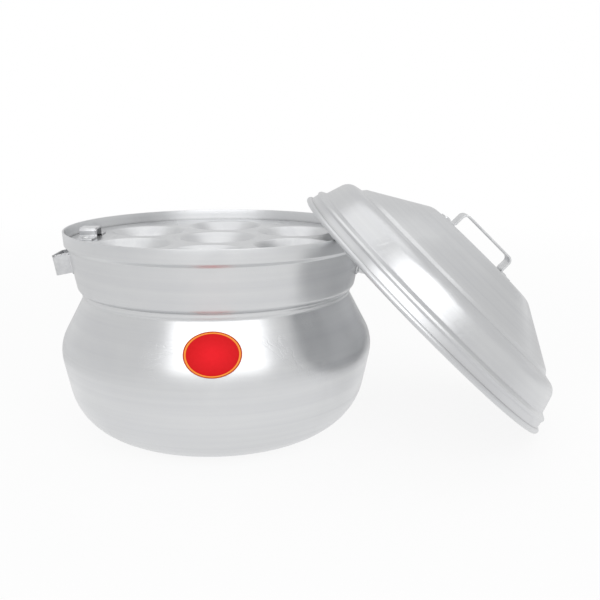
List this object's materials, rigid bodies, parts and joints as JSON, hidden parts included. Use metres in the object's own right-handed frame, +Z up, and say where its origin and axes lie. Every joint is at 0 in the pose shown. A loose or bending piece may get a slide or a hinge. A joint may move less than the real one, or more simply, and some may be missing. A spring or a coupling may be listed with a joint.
{
  "type": "idli steamer",
  "caption": "Spun aluminium steaming pot with a belly and collar, cupped trays on inner ledges, and a stepped lid with a strap handle leaning on the rim.",
  "frame": {"origin": "on the floor under the middle of the pot's flat base", "axes": "+Z up; +X towards the lid, which leans against the pot on that side; -Y is the front with the label"},
  "size_m": [0.4646, 0.3028, 0.2268],
  "materials": {
    "spun_aluminium": "satin, spun",
    "pressed_aluminium": "satin, pressed",
    "strap_aluminium": "bright, sheared",
    "rivet_aluminium": "bright",
    "label": "printed gloss sticker"
  },
  "bodies": {
    "pot": {"pot_shell": "spun_aluminium", "left_lug": "strap_aluminium", "right_lug": "strap_aluminium", "left_lug_rivets": "rivet_aluminium", "right_lug_rivets": "rivet_aluminium", "front_label": "label"},
    "upper_tray": {"upper_tray": "pressed_aluminium", "upper_left_tab": "strap_aluminium", "upper_right_tab": "strap_aluminium", "upper_tab_rivets": "rivet_aluminium"},
    "lower_tray": {"lower_tray": "pressed_aluminium", "lower_left_tab": "strap_aluminium", "lower_right_tab": "strap_aluminium", "lower_tab_rivets": "rivet_aluminium"},
    "lid": {"lid_shell": "spun_aluminium", "lid_handle": "strap_aluminium", "lid_handle_rivets": "rivet_aluminium"}
  },
  "joints": [
    {"name": "lid_lift", "type": "slide", "parent": "pot", "child": "lid", "axis": [0.7034, 0, 0.7108], "range_m": [0, 0.3]},
    {"name": "upper_tray_lift", "type": "slide", "parent": "pot", "child": "upper_tray", "axis": [0, 0, 1], "range_m": [0, 0.2]},
    {"name": "lower_tray_lift", "type": "slide", "parent": "pot", "child": "lower_tray", "axis": [0, 0, 1], "range_m": [0, 0.1]}
  ],
  "couplings": [
    {"joint": "upper_tray_lift", "follows": "lid_lift", "ratio": 0.66666},
    {"joint": "lower_tray_lift", "follows": "lid_lift", "ratio": 0.33333}
  ]
}
